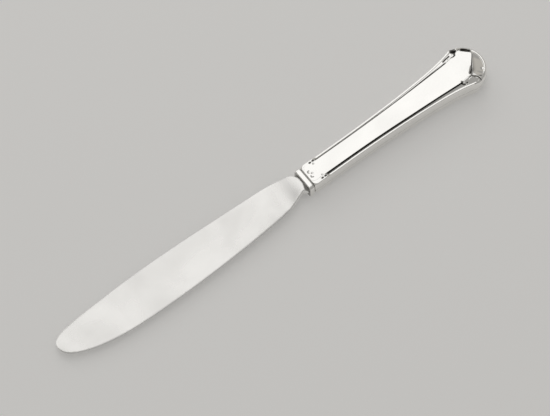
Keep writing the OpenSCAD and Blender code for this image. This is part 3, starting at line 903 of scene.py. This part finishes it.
# Places of the rays: close together where the form turns fast and wide apart along the plain middle
FINE_STEP, SHORT_STEP, LONG_STEP = 0.15, 0.35, 0.8
CORNER_STEPS = 24
MIDDLE_END, FLARE_START = 72.0, 82.0
FAN_STEP = 1.2
PANEL_STEPS = 54
LONG_X = np.concatenate([
    MOUTH_X + CORNER_R * (1 - np.cos(np.linspace(0, np.pi / 2, CORNER_STEPS))),
    np.arange(MOUTH_X + CORNER_R + FINE_STEP, BORDER_X + BORDER_RUN, FINE_STEP),
    np.arange(BORDER_X + BORDER_RUN, MIDDLE_END, LONG_STEP),
    np.arange(MIDDLE_END, FLARE_START, SHORT_STEP),
    np.arange(FLARE_START, EAR_X - FINE_STEP / 3, FINE_STEP),
])
FAN = np.arange(-90, 90 + FAN_STEP / 2, FAN_STEP)
ray_x = np.concatenate([LONG_X, np.full(len(FAN), EAR_X), LONG_X[::-1]])
ray_angle = np.concatenate([np.full(len(LONG_X), -90.0), FAN, np.full(len(LONG_X), 90.0)])
on_side = np.abs(ray_angle) == 90
ray_count = len(ray_x)
half_count = (ray_count + 1) // 2


def grid_faces(first, rows, wide):
    """Faces of a grid of points, row after row, that starts at the point numbered first."""
    corners = [first + j * wide + k for j in range(rows - 1) for k in range(wide - 1)]
    return [(a, a + 1, a + wide + 1, a + wide) for a in corners]


def skin_faces(across, inside):
    """Faces of a shell with that many outer and inner points on each ray."""
    wide = PANEL_STEPS + 1
    panel_start = ray_count * across
    inner_start = panel_start + half_count * wide
    faces = grid_faces(0, ray_count, across) + grid_faces(panel_start, half_count, wide)
    faces += [(a, d, c, b) for a, b, c, d in grid_faces(inner_start, ray_count, inside)]
    for j in range(ray_count - 1):
        a, b = j * across, inner_start + j * inside
        faces.append((a, a + across, b + inside, b))
    for j in range(half_count - 1):
        a, b = inner_start + (j + 1) * inside - 1, inner_start + (ray_count - j) * inside - 1
        # The last strip ends at the middle ray, where two of its corners are one
        faces.append(tuple(dict.fromkeys((a, a + inside, b - inside, b))))
    mouth = list(range(across)) + list(range(panel_start + 1, panel_start + wide - 1))
    mouth += range(ray_count * across - 1, (ray_count - 1) * across - 1, -1)
    mouth += range(inner_start + (ray_count - 1) * inside, inner_start + ray_count * inside)
    mouth += range(inner_start + inside - 1, inner_start - 1, -1)
    return faces + [tuple(mouth)]


def groove_shade_and_tarnish():
    """Darkening on each outer point of each ray, painted shade with some patina: in the grooves, at the fold,
    in the notches and wedge.
    """
    fold = fold_share(ray_angle) * ~on_side
    half_fold = fold * mix(HALF_FOLD_SHADE, 1, ramp(ray_angle, *HALF_FOLD_ANGLES))
    in_groove = border_share(ray_x) * groove_share(ray_x) * on_side
    width = thread_r(ray_x, ray_angle) - THREAD_W - panel_r(ray_x, ray_angle) - GROOVE_W
    in_channel = in_groove * (ray_angle < 0) * ramp(width, *NARROW_WIDTHS)
    far_line = in_groove * (ray_angle > 0) * between(width, *FAR_LINE_WIDTHS)
    in_notch = NOTCH_SHADE * between(ray_angle, *NOTCH_SHADE_ANGLES) * ~on_side
    in_wedge = between(ray_angle, *WEDGE_SHADE_ANGLES) * ~on_side
    # Each layer paints shade into the colour where a groove, channel, fold, notch or wedge lies in shadow.
    layers = []
    for share, first, last in (
        (in_groove, 14, 17), (in_channel, 11, 15), (far_line, 13, 14), (fold, 15, 17), (half_fold, 14, 14),
        (in_notch, 6, 17), (in_wedge, 8, 17),
    ):
        column = np.zeros((1, KNOT_COUNT))
        column[0, first:last + 1] = 1.0
        layers.append(share[:, None] * cut_corners(column))
    return np.max(layers, axis=0)


def struck_shell():
    """Points, faces and painted darkening (shade, with some patina) of the upper half of the handle, a closed
    form one wall thick.
    """
    distance, height = outer_section(ray_x, ray_angle)
    distance, height = cut_corners(distance), cut_corners(height)
    lip = np.maximum(0, 1 - (ray_x - MOUTH_X) / LIP_R)
    inset = LIP_R * (1 - np.sqrt(1 - lip ** 2)) * on_side
    scale = (1 - inset / (NECK_T / 2))[:, None]
    outer = on_rays(ray_x, ray_angle, distance * scale, height * scale)
    inner = on_rays(ray_x, ray_angle, *inner_section(ray_x, ray_angle))
    near, far = outer[:half_count, -1], outer[::-1][:half_count, -1]
    t = np.linspace(0, 1, PANEL_STEPS + 1)[None, :, None]
    panel = near[:, None] * (1 - t) + far[:, None] * t
    struck = np.concatenate([outer.reshape(-1, 3), panel.reshape(-1, 3)])
    across, inside = outer.shape[1], inner.shape[1]
    relief = relief_at(struck[:, :2])
    # The wall takes no struck lines
    free = np.ones(len(struck), bool)
    free[:ray_count * across] = np.tile(np.arange(across) >= WALL_COLUMNS, ray_count)
    relief[~free] = 0
    struck[:, 2] += relief
    struck[free], relief[free] = raise_beads(struck[free], relief[free])
    # Struck cuts are coloured darker the deeper they go: painted shade, with some patina.
    shade_and_tarnish = np.zeros(len(struck) + ray_count * inside)
    shade_and_tarnish[:len(struck)] = clamp01(-relief * SHADE_AND_TARNISH_PER_MM)
    outer_part = shade_and_tarnish[:ray_count * across]
    outer_part[:] = np.maximum(outer_part, groove_shade_and_tarnish().reshape(-1))
    return np.concatenate([struck, inner.reshape(-1, 3)]), skin_faces(across, inside), shade_and_tarnish


shell_points, shell_faces, shell_shade_and_tarnish = struck_shell()
front = make_piece("struck_shell_front", shell_points, shell_faces, "front_shell",
                   {"shade_and_tarnish_depth": shell_shade_and_tarnish})
back = make_piece("struck_shell_back", shell_points * (1, 1, -1), [f[::-1] for f in shell_faces],
                  "back_shell", {"shade_and_tarnish_depth": shell_shade_and_tarnish})
for shell in (front, back):
    shell.data.materials.append(silver)

# Seam: a hair-thin line of hard silver solder that joins the two shells all round. It runs in while they
# are held edge to edge, and it is filed flush with them.
SEAM_BULGE = 0.02
SEAM_SECTION = (
    (0.0, SOLDER_T / 2), (-SEAM_BULGE, 0.0), (0.0, -SOLDER_T / 2),
    (WALL_T, -SOLDER_T / 2), (WALL_T, SOLDER_T / 2),
)
SOLDER_BRIGHT = (0.62, 0.61, 0.585, 1)
SOLDER_DULL = (0.45, 0.44, 0.42, 1)
SOLDER_ROUGHNESS = (0.3, 0.45)

seam_distance = seam_r(ray_x, ray_angle)
seam_lines = []
for inward, height in SEAM_SECTION:
    line = on_rays(ray_x, ray_angle, (seam_distance - inward)[:, None], np.full((ray_count, 1), height))
    seam_lines.append(line[:, 0])
seam_points, seam_faces = loft(list(np.stack(seam_lines, axis=1)))
seam = make_piece("solder_seam", seam_points, seam_faces, "seam_solder", sharp=40)


def filed_solder():
    """Hard solder, a little greyer and rougher than the silver it joins."""
    material, nodes, links, shader = new_material("filed_solder")
    cloud = use_group(nodes, smudges, Size=300.0)
    tone = blend_color(nodes, links, cloud.outputs["Mask"], SOLDER_BRIGHT, SOLDER_DULL)
    links.new(tone, shader.inputs["Base Color"])
    roughness = spread_value(nodes, links, cloud.outputs["Mask"], *SOLDER_ROUGHNESS)
    links.new(roughness, shader.inputs["Roughness"])
    shader.inputs["Metallic"].default_value = 1.0
    return material


seam.data.materials.append(filed_solder())

# Filling: grey-brown cement poured round the tang, which fills the hollow handle and holds the blade.
# It is hidden inside, so the solid of the frame stays and takes a matt, gritty finish.
CEMENT_PALE = (0.62, 0.56, 0.47, 1)
CEMENT_DARK = (0.42, 0.37, 0.30, 1)
CEMENT_ROUGHNESS = (0.8, 0.95)
GRIT_BUMP = 0.4
GRIT_DEPTH = 0.0001


def set_cement():
    """Cement that has set hard: matt, blotchy and gritty."""
    material, nodes, links, shader = new_material("set_cement")
    grit = use_group(nodes, smudges, Size=1200.0)
    tone = blend_color(nodes, links, grit.outputs["Mask"], CEMENT_PALE, CEMENT_DARK)
    links.new(tone, shader.inputs["Base Color"])
    roughness = spread_value(nodes, links, grit.outputs["Mask"], *CEMENT_ROUGHNESS)
    links.new(roughness, shader.inputs["Roughness"])
    bump_surface(nodes, links, shader, grit.outputs["Mask"], GRIT_BUMP, GRIT_DEPTH)
    return material


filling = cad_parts["handle_filling"]
filling.data.materials.clear()
filling.data.materials.append(set_cement())

# Floor and light: a plain pale table top that runs out of the picture, in a dim, slightly warm room. One
# large soft box hangs above the knife and a wide, low one stands behind it, so that polished faces show
# white and their flanks grey. A small warm one stands to the right of them.
FLOOR_HALF = 3.0
FLOOR_COLOR = (0.82, 0.81, 0.79, 1)
FLOOR_GLOW = 0.17
ROOM_LIGHT = 0.34
ROOM_COLOR = (1.0, 0.985, 0.955, 1)
LAMP_WHITE = (1, 1, 1)
LAMP_WARM = (1, 0.9, 0.72)

floor_mesh = bpy.data.meshes.new("table_top")
floor_corners = [(x * FLOOR_HALF, y * FLOOR_HALF, 0) for x, y in ((-1, -1), (1, -1), (1, 1), (-1, 1))]
floor_mesh.from_pydata(floor_corners, [], [(0, 1, 2, 3)])
floor = bpy.data.objects.new("table_top", floor_mesh)
bpy.context.collection.objects.link(floor)


def pale_table_top():
    """Matt, pale top with a faint glow for the camera and for what mirrors it, but none on the knife."""
    material, nodes, links, shader = new_material("pale_table_top")
    shader.inputs["Base Color"].default_value = FLOOR_COLOR
    shader.inputs["Roughness"].default_value = 0.9
    shader.inputs["Specular IOR Level"].default_value = 0.1
    rays = nodes.new("ShaderNodeLightPath").outputs
    seen = add_values(nodes, links, rays["Is Camera Ray"], rays["Is Glossy Ray"])
    seen = add_values(nodes, links, seen, rays["Is Transmission Ray"], clamp=True)
    glow = node(nodes, "ShaderNodeMath", operation="MULTIPLY")
    glow.inputs[1].default_value = FLOOR_GLOW
    links.new(seen, glow.inputs[0])
    shader.inputs["Emission Color"].default_value = (1, 1, 1, 1)
    links.new(glow.outputs["Value"], shader.inputs["Emission Strength"])
    return material


floor.data.materials.append(pale_table_top())

world = bpy.data.worlds.new("dim_room")
world.use_nodes = True
room = world.node_tree.nodes["Background"].inputs
room["Color"].default_value = ROOM_COLOR
room["Strength"].default_value = ROOM_LIGHT
bpy.context.scene.world = world


def soft_box(name, turn, elevation, distance, width, height, radiance, color=LAMP_WHITE):
    """A soft box that faces the knife, at a turn from the camera's line and an elevation in degrees."""
    around, up = CAMERA_TURN + math.radians(turn), math.radians(elevation)
    lamp_data = bpy.data.lights.new(name, "AREA")
    lamp_data.shape = "RECTANGLE"
    lamp_data.size = width
    lamp_data.size_y = height
    lamp_data.energy = radiance * math.pi * width * height
    lamp_data.color = color
    lamp = bpy.data.objects.new(name, lamp_data)
    out = Vector((math.sin(around) * math.cos(up), math.cos(around) * math.cos(up), math.sin(up)))
    lamp.location = out * distance
    lamp.rotation_euler = out.to_track_quat("Z", "Y").to_euler()
    bpy.context.collection.objects.link(lamp)


soft_box("soft_box_above", turn=-9, elevation=68, distance=1.3, width=0.62, height=1.1, radiance=0.71)
soft_box("soft_box_behind", turn=-21, elevation=30, distance=1.3, width=1.3, height=0.6, radiance=0.68)
soft_box("soft_box_right", turn=32, elevation=49, distance=1.4, width=0.46, height=0.48, radiance=0.115,
         color=LAMP_WARM)
